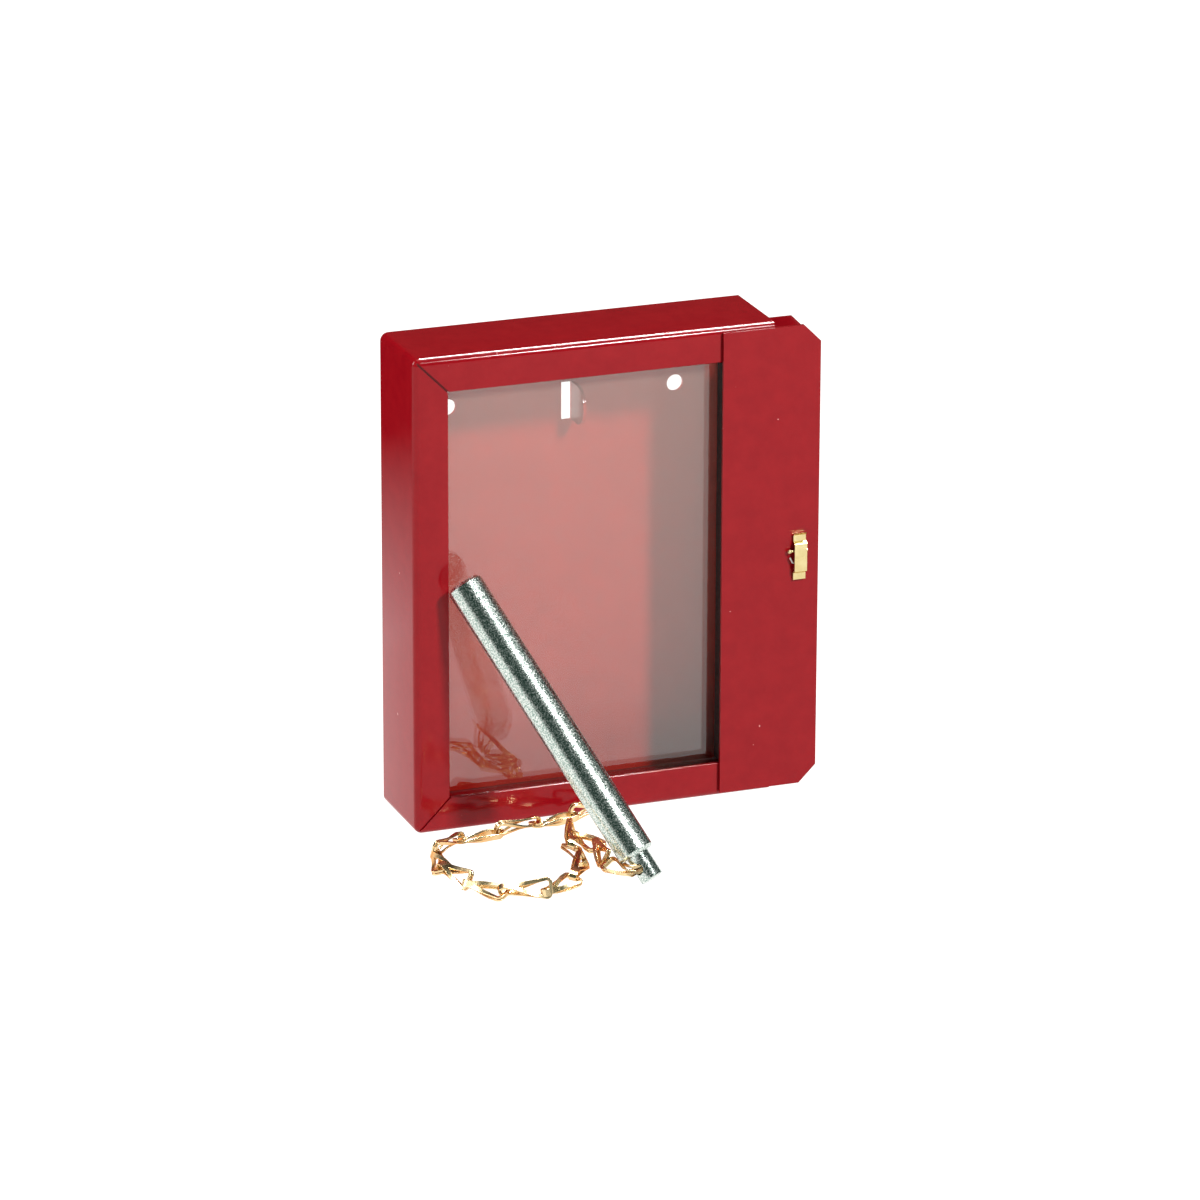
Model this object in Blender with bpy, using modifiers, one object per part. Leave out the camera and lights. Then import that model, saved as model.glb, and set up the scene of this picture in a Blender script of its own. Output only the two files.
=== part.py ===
"""Emergency key box with a break-glass pane, a sliding sealed cover and a steel striker on a chain.

The box stands upright. X runs to the right along its front, Y into its depth and Z up.
The origin is the centre of the underside, and the front face looks towards -Y.
"""

import math

import bmesh
import bpy
from mathutils import Matrix, Vector

MM = 0.001

# Case
CASE_WIDTH = 115 * MM
CASE_DEPTH = 30 * MM
CASE_HEIGHT = 150 * MM
SHEET = 1 * MM
BEND_RADIUS = 2.5 * MM
FRAME_WIDTH = 11 * MM
MITRE_GAP = 0.3 * MM
GAP = 0.3 * MM
OVERCUT = 2 * MM

LEFT = -CASE_WIDTH / 2
RIGHT = CASE_WIDTH / 2
FRONT = -CASE_DEPTH / 2
BACK = CASE_DEPTH / 2
TOP = CASE_HEIGHT

# Wall fixing and key tab on the back plate
FIXING_HOLE_RADIUS = 2.6 * MM
FIXING_SPACING = 73.2 * MM
FIXING_HEIGHT = 124.6 * MM
TAB_LEFT = 3 * MM
TAB_REACH = 11 * MM
TAB_HALF_HEIGHT = 6 * MM
TAB_HEIGHT = 122.7 * MM
TAB_SLOT_WIDTH = 3.2 * MM

# Pane and its channels
PANE_THICKNESS = 2 * MM
PANE_FRONT = FRONT + 4.6 * MM
PANE_BACK = PANE_FRONT + PANE_THICKNESS
PANE_INSET = 2.4 * MM
CHANNEL_SHEET = 0.8 * MM
CHANNEL_LEG = 6.2 * MM
CHANNEL_PLAY = 0.4 * MM

# Cover and the ears that it is sealed to
COVER_LEFT = LEFT + 98 * MM
COVER_RIGHT = LEFT + 129.5 * MM
COVER_INSET = 1.5 * MM
COVER_CHAMFER = 5.5 * MM
COVER_BACK = FRONT - GAP
COVER_FRONT = COVER_BACK - SHEET
RETURN_DEPTH = 4.2 * MM
RETURN_INSET = 1.0 * MM
EDGE_SEAL = 0.5 * MM
EAR_FRONT = FRONT + 8.5 * MM
CLIP_SHEET = 0.8 * MM
CLIP_LEFT = COVER_LEFT + 2.5 * MM
CLIP_WIDTH = 14 * MM
CLIP_LEAF = 9 * MM
CLIP_HOOK = 4 * MM

# Catch
CATCH_X = LEFT + 123 * MM
CATCH_Z = 75.5 * MM
CATCH_WIDTH = 4 * MM
CATCH_SHEET = 0.6 * MM
CATCH_BRIDGE_HEIGHT = 1.2 * MM
CATCH_LIP = 1 * MM
CATCH_PIN_RADIUS = 0.35 * MM
CATCH_BALL_RADIUS = 0.7 * MM
TONGUE_WIDTH = 2.4 * MM
TONGUE_REACH = 12.5 * MM
TONGUE_Z = CATCH_Z + 5.8 * MM
TONGUE_PLAY = 0.35 * MM

# Striker: its lower end stands on the floor, and its upper end leans on the frame
STRIKER_FOOT = Vector((LEFT + 52.5 * MM, FRONT - 62.3 * MM, 2.15 * MM))
STRIKER_HEAD = Vector((LEFT + 14.5 * MM, FRONT - 3.05 * MM, 79.8 * MM))
STRIKER_RADIUS = 5.6 * MM
NECK_RADIUS = 3.5 * MM
NECK_LENGTH = 8.3 * MM
NECK_HOLE_RADIUS = 1.8 * MM
NECK_HOLE_HEIGHT = 4.3 * MM
STRIKER_CHAMFER = 0.9 * MM
NECK_CHAMFER = 0.35 * MM

# Chain and its eye on the lower rail
CHAIN_RADIUS = 2.8 * MM
EYE_WIRE_RADIUS = 0.6 * MM
EYE_RADIUS = 2.3 * MM
EYE_X = LEFT + 62 * MM
EYE_Z = 5.6 * MM
EYE_CENTRE_Y = FRONT - 3.9 * MM
NUT_RADIUS = 2 * MM
NUT_THICKNESS = 1.4 * MM
END_LINK_RADIUS = 0.7 * MM
END_LINK_EYE_RADIUS = 2.2 * MM
END_LINK_EYE = Vector((LEFT + 43.6 * MM, FRONT - 51.1 * MM, 2.9 * MM))
END_LINK_STUB = 4.3 * MM

# The chain's centreline on the floor, in millimetres from the case's lower front left corner
CHAIN_ROUTE = (
    (61.0, -4.6, 3.8),
    (56.0, -5.6, 3.0),
    (50.0, -6.6, 2.8),
    (43.0, -7.6, 2.8),
    (34.0, -9.6, 2.8),
    (25.0, -11.8, 2.8),
    (16.0, -13.2, 2.8),
    (8.0, -14.5, 2.8),
    (1.0, -19.0, 2.8),
    (-3.0, -26.0, 2.8),
    (-4.0, -35.0, 2.8),
    (-2.0, -44.0, 2.8),
    (1.5, -52.5, 2.8),
    (7.0, -59.5, 2.8),
    (15.0, -63.0, 2.8),
    (23.0, -60.5, 2.8),
    (30.5, -55.0, 2.8),
    (36.0, -47.5, 2.8),
    (38.5, -39.0, 2.8),
    (38.3, -31.0, 2.8),
    (37.8, -25.0, 2.8),
    (40.2, -20.8, 2.8),
    (44.0, -21.4, 2.8),
    (45.6, -26.5, 2.8),
    (45.8, -33.0, 2.8),
    (44.8, -40.5, 2.8),
    (43.2, -47.2, 2.8),
)


def clear_scene():
    """Remove whatever the file holds."""
    for item in list(bpy.data.objects):
        bpy.data.objects.remove(item, do_unlink=True)


def collection(name):
    """A new collection in the scene."""
    made = bpy.data.collections.new(name)
    bpy.context.scene.collection.children.link(made)
    return made


clear_scene()
PARTS = collection("emergency_key_box")
CUTTERS = collection("cutters")


def material(name, colour, metallic, roughness, alpha=1.0):
    """A Principled material."""
    made = bpy.data.materials.new(name)
    made.use_nodes = True
    shader = made.node_tree.nodes["Principled BSDF"]
    shader.inputs["Base Color"].default_value = (*colour, 1.0)
    shader.inputs["Metallic"].default_value = metallic
    shader.inputs["Roughness"].default_value = roughness
    shader.inputs["Alpha"].default_value = alpha
    return made


def red_paint(name):
    """Flame-red powder coat on sheet steel."""
    return material(name, (0.42, 0.02, 0.03), 0.0, 0.35)


def brass(name):
    """Bright yellow brass."""
    return material(name, (0.86, 0.68, 0.33), 1.0, 0.25)


def bright_steel(name):
    """Zinc-plated steel."""
    return material(name, (0.72, 0.74, 0.73), 1.0, 0.2)


def clear_glass(name):
    """Thin clear glass."""
    return material(name, (0.85, 0.9, 0.9), 0.0, 0.05, alpha=0.35)


def add_object(name, mesh, finish=None):
    """An object in the parts collection, or in the cutters' when it has no finish."""
    made = bpy.data.objects.new(name, mesh)
    if finish is None:
        CUTTERS.objects.link(made)
        made.hide_render = True
        made.display_type = "WIRE"
    else:
        PARTS.objects.link(made)
        mesh.materials.clear()
        mesh.materials.append(finish)
    return made


def block(name, low, high, finish=None):
    """A box between two corners."""
    mesh = bpy.data.meshes.new(name)
    form = bmesh.new()
    bmesh.ops.create_cube(form, size=1)
    centre = (Vector(low) + Vector(high)) / 2
    size = Vector(high) - Vector(low)
    bmesh.ops.transform(form, verts=form.verts, matrix=Matrix.LocRotScale(centre, None, size))
    form.to_mesh(mesh)
    form.free()
    return add_object(name, mesh, finish)


def rod(name, radius, start, end, sides, finish=None):
    """A straight round or polygonal bar between two points."""
    mesh = bpy.data.meshes.new(name)
    form = bmesh.new()
    start = Vector(start)
    run = Vector(end) - start
    bmesh.ops.create_cone(form, cap_ends=True, segments=sides, radius1=radius, radius2=radius, depth=run.length)
    turn = Vector((0, 0, 1)).rotation_difference(run.normalized())
    bmesh.ops.transform(form, verts=form.verts, matrix=Matrix.LocRotScale(start + run / 2, turn, None))
    form.to_mesh(mesh)
    form.free()
    return add_object(name, mesh, finish)


def curve_to_mesh(name, curve, matrix, finish=None):
    """A closed mesh object from a curve whose caps are welded."""
    guide = bpy.data.objects.new(name + "_guide", curve)
    CUTTERS.objects.link(guide)
    guide.matrix_world = matrix
    bpy.context.view_layer.update()
    evaluated = guide.evaluated_get(bpy.context.evaluated_depsgraph_get())
    mesh = bpy.data.meshes.new_from_object(evaluated)
    mesh.name = name
    form = bmesh.new()
    form.from_mesh(mesh)
    bmesh.ops.remove_doubles(form, verts=form.verts, dist=1e-6)
    bmesh.ops.recalc_face_normals(form, faces=form.faces)
    form.to_mesh(mesh)
    form.free()
    bpy.data.objects.remove(guide, do_unlink=True)
    made = add_object(name, mesh, finish)
    made.matrix_world = matrix
    return made


# Each turns a drawing's own X, Y and thickness directions into the world's.
ALONG_X = Matrix(((0, 0, 1, 0), (1, 0, 0, 0), (0, 1, 0, 0), (0, 0, 0, 1)))
ALONG_Y = Matrix(((1, 0, 0, 0), (0, 0, -1, 0), (0, 1, 0, 0), (0, 0, 0, 1)))
ALONG_Z = Matrix.Identity(4)


def extrusion(name, outline, direction, low, high, finish=None):
    """A flat outline given the thickness from low to high along a world direction."""
    curve = bpy.data.curves.new(name, "CURVE")
    curve.dimensions = "2D"
    curve.fill_mode = "BOTH"
    curve.extrude = (high - low) / 2
    spline = curve.splines.new("POLY")
    spline.points.add(len(outline) - 1)
    for point, (across, up) in zip(spline.points, outline):
        point.co = (across, up, 0, 1)
    spline.use_cyclic_u = True
    middle = (low + high) / 2
    shift = {"X": (middle, 0, 0), "Y": (0, middle, 0), "Z": (0, 0, middle)}[direction]
    turn = {"X": ALONG_X, "Y": ALONG_Y, "Z": ALONG_Z}[direction]
    return curve_to_mesh(name, curve, Matrix.Translation(shift) @ turn, finish)


def arc(centre, radius, start_deg, end_deg, steps):
    """Points along an arc, ends included."""
    angles = [math.radians(start_deg + (end_deg - start_deg) * i / steps) for i in range(steps + 1)]
    return [(centre[0] + radius * math.cos(a), centre[1] + radius * math.sin(a)) for a in angles]


def combine(target, other, operation):
    """Cut a solid with another, or join another to it."""
    modifier = target.modifiers.new(operation.lower() + "_" + other.name, "BOOLEAN")
    modifier.operation = operation
    modifier.solver = "EXACT"
    modifier.object = other


def cut(target, other):
    """Take a cutter's shape out of a solid."""
    combine(target, other, "DIFFERENCE")


def join(target, other):
    """Add a helper's shape to a solid."""
    combine(target, other, "UNION")


def smooth(target):
    """Shade round faces smooth and keep real edges sharp."""
    target.data.shade_smooth()
    target.data.set_sharp_from_angle(angle=math.radians(35))


def left_rounded_outline(left, right, bottom, top, radius):
    """A rectangle in X and Z whose two left corners are rounded."""
    lower = arc((left + radius, bottom + radius), radius, 180, 270, 6)
    upper = arc((left + radius, top - radius), radius, 90, 180, 6)
    return [*lower, (right, bottom), (right, top), *upper]


def chamfered_outline():
    """The cover's outline in X and Z, shared by the ear behind it: its two right corners are cut off."""
    bottom = COVER_INSET
    top = TOP - COVER_INSET
    return [
        (COVER_LEFT, bottom),
        (COVER_RIGHT - COVER_CHAMFER, bottom),
        (COVER_RIGHT, bottom + COVER_CHAMFER),
        (COVER_RIGHT, top - COVER_CHAMFER),
        (COVER_RIGHT - COVER_CHAMFER, top),
        (COVER_LEFT, top),
    ]


def case_shell():
    """Top, left and bottom walls in one bent strip, with the front frame folded in and mitred."""
    outer = left_rounded_outline(LEFT, RIGHT, 0, TOP, BEND_RADIUS)
    shell = extrusion("case_shell", outer, "Y", FRONT, BACK, red_paint("case_paint"))
    inner = left_rounded_outline(LEFT + SHEET, RIGHT + OVERCUT, SHEET, TOP - SHEET, BEND_RADIUS - SHEET)
    cut(shell, extrusion("case_cavity", inner, "Y", FRONT + SHEET, BACK + OVERCUT))
    low = (LEFT + FRAME_WIDTH, FRONT - OVERCUT, FRAME_WIDTH)
    high = (RIGHT + OVERCUT, FRONT + 2 * SHEET, TOP - FRAME_WIDTH)
    cut(shell, block("case_window", low, high))
    for side, corner, inward in (("lower", 0, 1), ("upper", TOP, -1)):
        near = 1.5 * SHEET
        far = FRAME_WIDTH + MITRE_GAP
        half = MITRE_GAP / math.sqrt(2)
        outline = [
            (LEFT + near - half, corner + inward * (near + half)),
            (LEFT + near + half, corner + inward * (near - half)),
            (LEFT + far + half, corner + inward * (far - half)),
            (LEFT + far - half, corner + inward * (far + half)),
        ]
        cut(shell, extrusion(f"{side}_mitre", outline, "Y", FRONT - OVERCUT, FRONT + 1.5 * SHEET))
    eye_hole_radius = EYE_WIRE_RADIUS + GAP
    start = (EYE_X, FRONT - OVERCUT, EYE_Z)
    end = (EYE_X, FRONT + 2 * SHEET, EYE_Z)
    cut(shell, rod("eye_hole", eye_hole_radius, start, end, 16))
    smooth(shell)


def back_plate():
    """The rear panel, with two screw holes and a tab punched forward for the key to hang on."""
    inset = SHEET + GAP
    outline = left_rounded_outline(LEFT + inset, RIGHT - inset, inset, TOP - inset, BEND_RADIUS - SHEET)
    plate_front = BACK - SHEET
    plate = extrusion("back_plate", outline, "Y", plate_front, BACK, red_paint("back_paint"))
    for side, x in (("left", -FIXING_SPACING / 2), ("right", FIXING_SPACING / 2)):
        start = (x, plate_front - OVERCUT, FIXING_HEIGHT)
        end = (x, BACK + OVERCUT, FIXING_HEIGHT)
        cut(plate, rod(f"{side}_fixing_hole", FIXING_HOLE_RADIUS, start, end, 32))
    slot_low = (TAB_LEFT - TAB_SLOT_WIDTH, plate_front - OVERCUT, TAB_HEIGHT - TAB_HALF_HEIGHT)
    slot_high = (TAB_LEFT, BACK + OVERCUT, TAB_HEIGHT + TAB_HALF_HEIGHT)
    cut(plate, block("tab_slot", slot_low, slot_high))
    round_centre = (plate_front - TAB_REACH + TAB_HALF_HEIGHT, TAB_HEIGHT)
    nose = arc(round_centre, TAB_HALF_HEIGHT, 90, 270, 16)
    root = BACK - SHEET / 2
    tab_outline = [*nose, (root, TAB_HEIGHT - TAB_HALF_HEIGHT), (root, TAB_HEIGHT + TAB_HALF_HEIGHT)]
    tab_start = TAB_LEFT - 0.1 * SHEET
    join(plate, extrusion("key_tab", tab_outline, "X", tab_start, tab_start + SHEET))
    smooth(plate)


def side_wall():
    """The right wall, folded outwards near the front into an ear with a notch for the catch."""
    wall_left = RIGHT - SHEET
    ear_back = EAR_FRONT + SHEET
    plan = [
        (wall_left, EAR_FRONT),
        (COVER_RIGHT, EAR_FRONT),
        (COVER_RIGHT, ear_back),
        (RIGHT, ear_back),
        (RIGHT, BACK),
        (wall_left, BACK),
    ]
    bottom = COVER_INSET
    top = TOP - COVER_INSET
    wall = extrusion("side_wall", plan, "Z", bottom, top, red_paint("side_paint"))
    for side, corner, inward in (("lower", bottom, 1), ("upper", top, -1)):
        far = COVER_RIGHT + OVERCUT
        outside = corner - inward * OVERCUT
        triangle = [
            (COVER_RIGHT - COVER_CHAMFER - OVERCUT, outside),
            (far, outside),
            (far, corner + inward * (COVER_CHAMFER + OVERCUT)),
        ]
        cut(wall, extrusion(f"{side}_ear_corner", triangle, "Y", EAR_FRONT - OVERCUT, ear_back + OVERCUT))
    half = TONGUE_WIDTH / 2 + TONGUE_PLAY
    low = (CATCH_X - half, EAR_FRONT - OVERCUT, TONGUE_Z - CATCH_SHEET / 2 - TONGUE_PLAY)
    high = (COVER_RIGHT + OVERCUT, ear_back + OVERCUT, TONGUE_Z + CATCH_SHEET / 2 + TONGUE_PLAY)
    cut(wall, block("ear_notch", low, high))


def channel_outline(base, inward):
    """A U across the pane's thickness: its base stands at base, and its legs point inward."""
    front_out = PANE_FRONT - CHANNEL_PLAY - CHANNEL_SHEET
    front_in = PANE_FRONT - CHANNEL_PLAY
    back_in = PANE_BACK + CHANNEL_PLAY
    back_out = back_in + CHANNEL_SHEET
    floor = base + inward * CHANNEL_SHEET
    tip = base + inward * CHANNEL_LEG
    return [
        (front_out, base),
        (back_out, base),
        (back_out, tip),
        (back_in, tip),
        (back_in, floor),
        (front_in, floor),
        (front_in, tip),
        (front_out, tip),
    ]


def pane_channels():
    """Three U-shaped channels that hold the pane behind the frame; the right side stays open."""
    inset = SHEET + GAP
    ends = (LEFT + 3 * SHEET, RIGHT - 2 * SHEET)
    for name, base, inward in (
        ("lower_pane_channel", inset, 1),
        ("upper_pane_channel", TOP - inset, -1),
    ):
        extrusion(name, channel_outline(base, inward), "X", *ends, bright_steel(name + "_steel"))
    swapped = [(x, y) for y, x in channel_outline(LEFT + inset, 1)]
    clear = inset + CHANNEL_LEG + SHEET
    extrusion("left_pane_channel", swapped, "Z", clear, TOP - clear, bright_steel("left_channel_steel"))


def pane():
    """The glass that is broken to reach the key."""
    low = (LEFT + PANE_INSET, PANE_FRONT, PANE_INSET)
    high = (RIGHT - PANE_INSET, PANE_BACK, TOP - PANE_INSET)
    block("pane", low, high, clear_glass("pane_glass"))


def cover_plate():
    """The sliding cover: a flat leaf over the open side, with its left edge folded back to the pane."""
    outline = chamfered_outline()
    cover = extrusion("cover_plate", outline, "Y", COVER_FRONT, COVER_BACK, red_paint("cover_paint"))
    clearance = FRAME_WIDTH + 2 * GAP
    return_left = COVER_LEFT + RETURN_INSET
    low = (return_left, COVER_BACK - SHEET / 2, clearance)
    high = (return_left + SHEET, FRONT + RETURN_DEPTH, TOP - clearance)
    join(cover, block("cover_return", low, high))
    half = TONGUE_WIDTH / 2 + TONGUE_PLAY
    low = (CATCH_X - half, COVER_FRONT - OVERCUT, TONGUE_Z - CATCH_SHEET / 2 - TONGUE_PLAY)
    high = (CATCH_X + half, COVER_BACK + SHEET, TONGUE_Z + CATCH_SHEET / 2 + TONGUE_PLAY)
    cut(cover, block("tongue_slot", low, high))


def cover_edge_seal():
    """The black rubber strip along the cover's return, which closes the gap towards the pane."""
    clearance = FRAME_WIDTH + 2 * GAP
    right = COVER_LEFT + RETURN_INSET - GAP
    low = (right - EDGE_SEAL, COVER_BACK + GAP, clearance)
    high = (right, FRONT + RETURN_DEPTH, TOP - clearance)
    block("cover_edge_seal", low, high, material("seal_rubber", (0.012, 0.01, 0.01), 0.0, 0.6))


def slide_clips():
    """Two stepped clips on the cover's back that hook behind the frame's rails and guide the slide."""
    rail_edge = FRAME_WIDTH + 0.6 * MM
    leaf_front = COVER_BACK + GAP
    hook_front = FRONT + SHEET + 0.5 * MM
    hook_back = hook_front + CLIP_SHEET
    for name, base, outward in (
        ("lower_slide_clip", rail_edge, -1),
        ("upper_slide_clip", TOP - rail_edge, 1),
    ):
        inner = base - outward * CLIP_LEAF
        step = base - outward * CLIP_SHEET
        tip = base + outward * CLIP_HOOK
        profile = [
            (leaf_front, inner),
            (leaf_front, base),
            (hook_front, base),
            (hook_front, tip),
            (hook_back, tip),
            (hook_back, step),
            (leaf_front + CLIP_SHEET, step),
            (leaf_front + CLIP_SHEET, inner),
        ]
        extrusion(name, profile, "X", CLIP_LEFT, CLIP_LEFT + CLIP_WIDTH, bright_steel(name + "_steel"))


def catch_strap():
    """A bent brass strap: feet on the cover, a bridge to grip, and a tongue back to the ear."""
    seat = COVER_FRONT - GAP
    inner = [
        (seat, CATCH_Z - 7.4 * MM),
        (seat, CATCH_Z - 5.3 * MM),
        (seat - CATCH_BRIDGE_HEIGHT, CATCH_Z - 4.6 * MM),
        (seat - CATCH_BRIDGE_HEIGHT, CATCH_Z + 4.2 * MM),
        (seat, CATCH_Z + 4.9 * MM),
        (seat, CATCH_Z + 6.8 * MM),
        (seat - CATCH_LIP, CATCH_Z + 7.6 * MM),
    ]
    outline = [*inner, *((y - CATCH_SHEET, z) for y, z in reversed(inner))]
    half = CATCH_WIDTH / 2
    strap = extrusion("catch_strap", outline, "X", CATCH_X - half, CATCH_X + half, brass("catch_brass"))
    low = (CATCH_X - TONGUE_WIDTH / 2, seat - CATCH_SHEET / 2, TONGUE_Z - CATCH_SHEET / 2)
    high = (CATCH_X + TONGUE_WIDTH / 2, seat + TONGUE_REACH, TONGUE_Z + CATCH_SHEET / 2)
    join(strap, block("catch_tongue", low, high))


def catch_pin():
    """A ball-headed pin that lies under the strap's bridge."""
    y = COVER_FRONT - GAP - CATCH_BRIDGE_HEIGHT / 2
    z = CATCH_Z + 1.8 * MM
    left = CATCH_X - 3.3 * MM
    right = CATCH_X + 2.6 * MM
    pin = rod("catch_pin", CATCH_PIN_RADIUS, (left, y, z), (right, y, z), 16, brass("pin_brass"))
    mesh = bpy.data.meshes.new("pin_ball")
    form = bmesh.new()
    bmesh.ops.create_uvsphere(form, u_segments=16, v_segments=10, radius=CATCH_BALL_RADIUS)
    bmesh.ops.translate(form, verts=form.verts, vec=(left, y, z))
    form.to_mesh(mesh)
    form.free()
    join(pin, add_object("pin_ball", mesh))
    smooth(pin)


def wire(name, points, radius, finish):
    """A round wire through points, its ends capped."""
    curve = bpy.data.curves.new(name, "CURVE")
    curve.dimensions = "3D"
    curve.bevel_depth = radius
    curve.bevel_resolution = 2
    curve.use_fill_caps = True
    spline = curve.splines.new("POLY")
    spline.points.add(len(points) - 1)
    for point, place in zip(spline.points, points):
        point.co = (*place, 1)
    made = curve_to_mesh(name, curve, Matrix.Identity(4), finish)
    smooth(made)
    return made


def seal_wire():
    """The soft wire that seals the catch, bent beside and under its bridge."""
    y = COVER_FRONT - GAP - CATCH_BRIDGE_HEIGHT / 2
    points = [
        (CATCH_X - 3.2 * MM, y, CATCH_Z - 0.1 * MM),
        (CATCH_X - 2.4 * MM, y, CATCH_Z - 1.7 * MM),
        (CATCH_X - 1.2 * MM, y, CATCH_Z - 2.3 * MM),
        (CATCH_X + 2.4 * MM, y, CATCH_Z - 2.3 * MM),
    ]
    wire("seal_wire", points, 0.3 * MM, bright_steel("seal_steel"))


def striker_profile(length):
    """The striker's half section in radius and height, from the centre mark down to the foot."""
    mark_radius = 0.6 * MM
    mark_depth = 0.5 * MM
    chamfer = STRIKER_CHAMFER
    return [
        (0, length - mark_depth),
        (mark_radius, length),
        (STRIKER_RADIUS - chamfer, length),
        (STRIKER_RADIUS, length - chamfer),
        (STRIKER_RADIUS, NECK_LENGTH + chamfer),
        (STRIKER_RADIUS - chamfer, NECK_LENGTH),
        (NECK_RADIUS, NECK_LENGTH),
        (NECK_RADIUS, NECK_CHAMFER),
        (NECK_RADIUS - NECK_CHAMFER, 0),
        (0, 0),
    ]


def striker():
    """The turned steel bar that breaks the pane, with a cross-drilled neck for the chain."""
    run = STRIKER_HEAD - STRIKER_FOOT
    profile = striker_profile(run.length)
    mesh = bpy.data.meshes.new("striker")
    edges = [(i, i + 1) for i in range(len(profile) - 1)]
    mesh.from_pydata([(radius, 0, height) for radius, height in profile], edges, [])
    bar = add_object("striker", mesh, bright_steel("striker_steel"))
    turn = bar.modifiers.new("turned", "SCREW")
    turn.steps = 48
    turn.render_steps = 48
    turn.use_merge_vertices = True
    turn.merge_threshold = 1e-5
    turn.use_smooth_shade = True
    bar.matrix_world = Matrix.LocRotScale(STRIKER_FOOT, Vector((0, 0, 1)).rotation_difference(run), None)
    across = run.cross(Vector((0, 0, 1))).normalized() * (NECK_RADIUS + OVERCUT)
    centre = STRIKER_FOOT + run.normalized() * NECK_HOLE_HEIGHT
    cut(bar, rod("neck_hole", NECK_HOLE_RADIUS, centre - across, centre + across, 24))


def striker_end_link():
    """The link that goes through the striker's neck: a stub beyond it, a stem, and an open eye for the chain."""
    run = (STRIKER_HEAD - STRIKER_FOOT).normalized()
    across = run.cross(Vector((0, 0, 1))).normalized()
    centre = STRIKER_FOOT + run * NECK_HOLE_HEIGHT
    mouth = centre - across * (NECK_RADIUS + 2 * GAP)
    stem = mouth.lerp(END_LINK_EYE, 0.15) - across * MM
    toward = (stem - END_LINK_EYE).normalized()
    heading = math.degrees(math.atan2(toward.y, toward.x))
    turns = arc((END_LINK_EYE.x, END_LINK_EYE.y), END_LINK_EYE_RADIUS, heading, heading + 305, 16)
    eye = [Vector((x, y, END_LINK_EYE.z)) for x, y in turns]
    wire(
        "striker_end_link",
        [centre + across * END_LINK_STUB, centre, mouth, stem, *eye],
        END_LINK_RADIUS,
        brass("end_link_brass"),
    )


def chain_eye():
    """An open wire eye through the lower rail, which the chain's first link hangs on."""
    centre = Vector((EYE_X, EYE_CENTRE_Y, EYE_Z))
    stem_end = Vector((EYE_X, FRONT + SHEET + NUT_THICKNESS + 2 * GAP, EYE_Z))
    ring = [
        centre + Vector((0, y * EYE_RADIUS, z * EYE_RADIUS))
        for y, z in arc((0, 0), 1, 0, 305, 20)
    ]
    wire("chain_eye", [stem_end, *ring], EYE_WIRE_RADIUS, brass("eye_brass"))


def chain_eye_nut():
    """The nut that holds the eye behind the rail."""
    start = Vector((EYE_X, FRONT + SHEET + GAP, EYE_Z))
    end = start + Vector((0, NUT_THICKNESS, 0))
    nut = rod("chain_eye_nut", NUT_RADIUS, start, end, 6, brass("nut_brass"))
    overrun = Vector((0, OVERCUT, 0))
    cut(nut, rod("nut_bore", EYE_WIRE_RADIUS + GAP, start - overrun, end + overrun, 16))


def smooth_route(points, steps):
    """Points along a Catmull-Rom curve through the route's points."""
    padded = [2 * points[0] - points[1], *points, 2 * points[-1] - points[-2]]
    route = []
    for before, start, end, after in zip(padded, padded[1:], padded[2:], padded[3:]):
        for step in range(steps):
            t = step / steps
            drift = (end - before) * t
            pull = (2 * before - 5 * start + 4 * end - after) * t**2
            settle = (3 * start - before - 3 * end + after) * t**3
            route.append(start + (drift + pull + settle) / 2)
    return [*route, points[-1]]


def chain():
    """The chain's envelope, lying in an open loop on the floor between the eye and the striker."""
    corner = Vector((LEFT, FRONT, 0))
    points = [corner + Vector(place) * MM for place in CHAIN_ROUTE]
    wire("chain", smooth_route(points, 2), CHAIN_RADIUS, brass("chain_brass"))


def build():
    """Make every part."""
    case_shell()
    back_plate()
    side_wall()
    pane_channels()
    pane()
    cover_plate()
    cover_edge_seal()
    slide_clips()
    catch_strap()
    catch_pin()
    seal_wire()
    striker()
    striker_end_link()
    chain_eye()
    chain_eye_nut()
    chain()


build()
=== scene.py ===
"""Looks of an emergency key box: painted sheet steel, glass, a turned striker and a brass chain."""
import math

import bmesh
import bpy
from mathutils import Matrix, Vector


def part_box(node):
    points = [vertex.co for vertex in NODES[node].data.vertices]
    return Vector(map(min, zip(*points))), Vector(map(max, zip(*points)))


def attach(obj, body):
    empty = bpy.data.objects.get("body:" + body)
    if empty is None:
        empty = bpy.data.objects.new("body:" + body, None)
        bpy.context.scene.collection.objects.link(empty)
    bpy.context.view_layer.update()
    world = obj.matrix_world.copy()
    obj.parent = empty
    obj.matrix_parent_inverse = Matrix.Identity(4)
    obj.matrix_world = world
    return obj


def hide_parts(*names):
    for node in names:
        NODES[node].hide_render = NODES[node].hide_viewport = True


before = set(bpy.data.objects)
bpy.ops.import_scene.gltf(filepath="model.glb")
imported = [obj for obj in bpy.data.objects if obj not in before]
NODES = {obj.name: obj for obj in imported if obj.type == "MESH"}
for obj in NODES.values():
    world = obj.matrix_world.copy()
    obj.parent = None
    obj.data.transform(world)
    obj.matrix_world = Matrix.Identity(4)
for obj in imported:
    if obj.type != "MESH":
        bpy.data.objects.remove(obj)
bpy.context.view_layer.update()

MM = 0.001
X, Y, Z = range(3)
UP = Vector((0, 0, 1))
SAME_PLACE = 1e-6
WELD_DISTANCE = 1e-7

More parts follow.
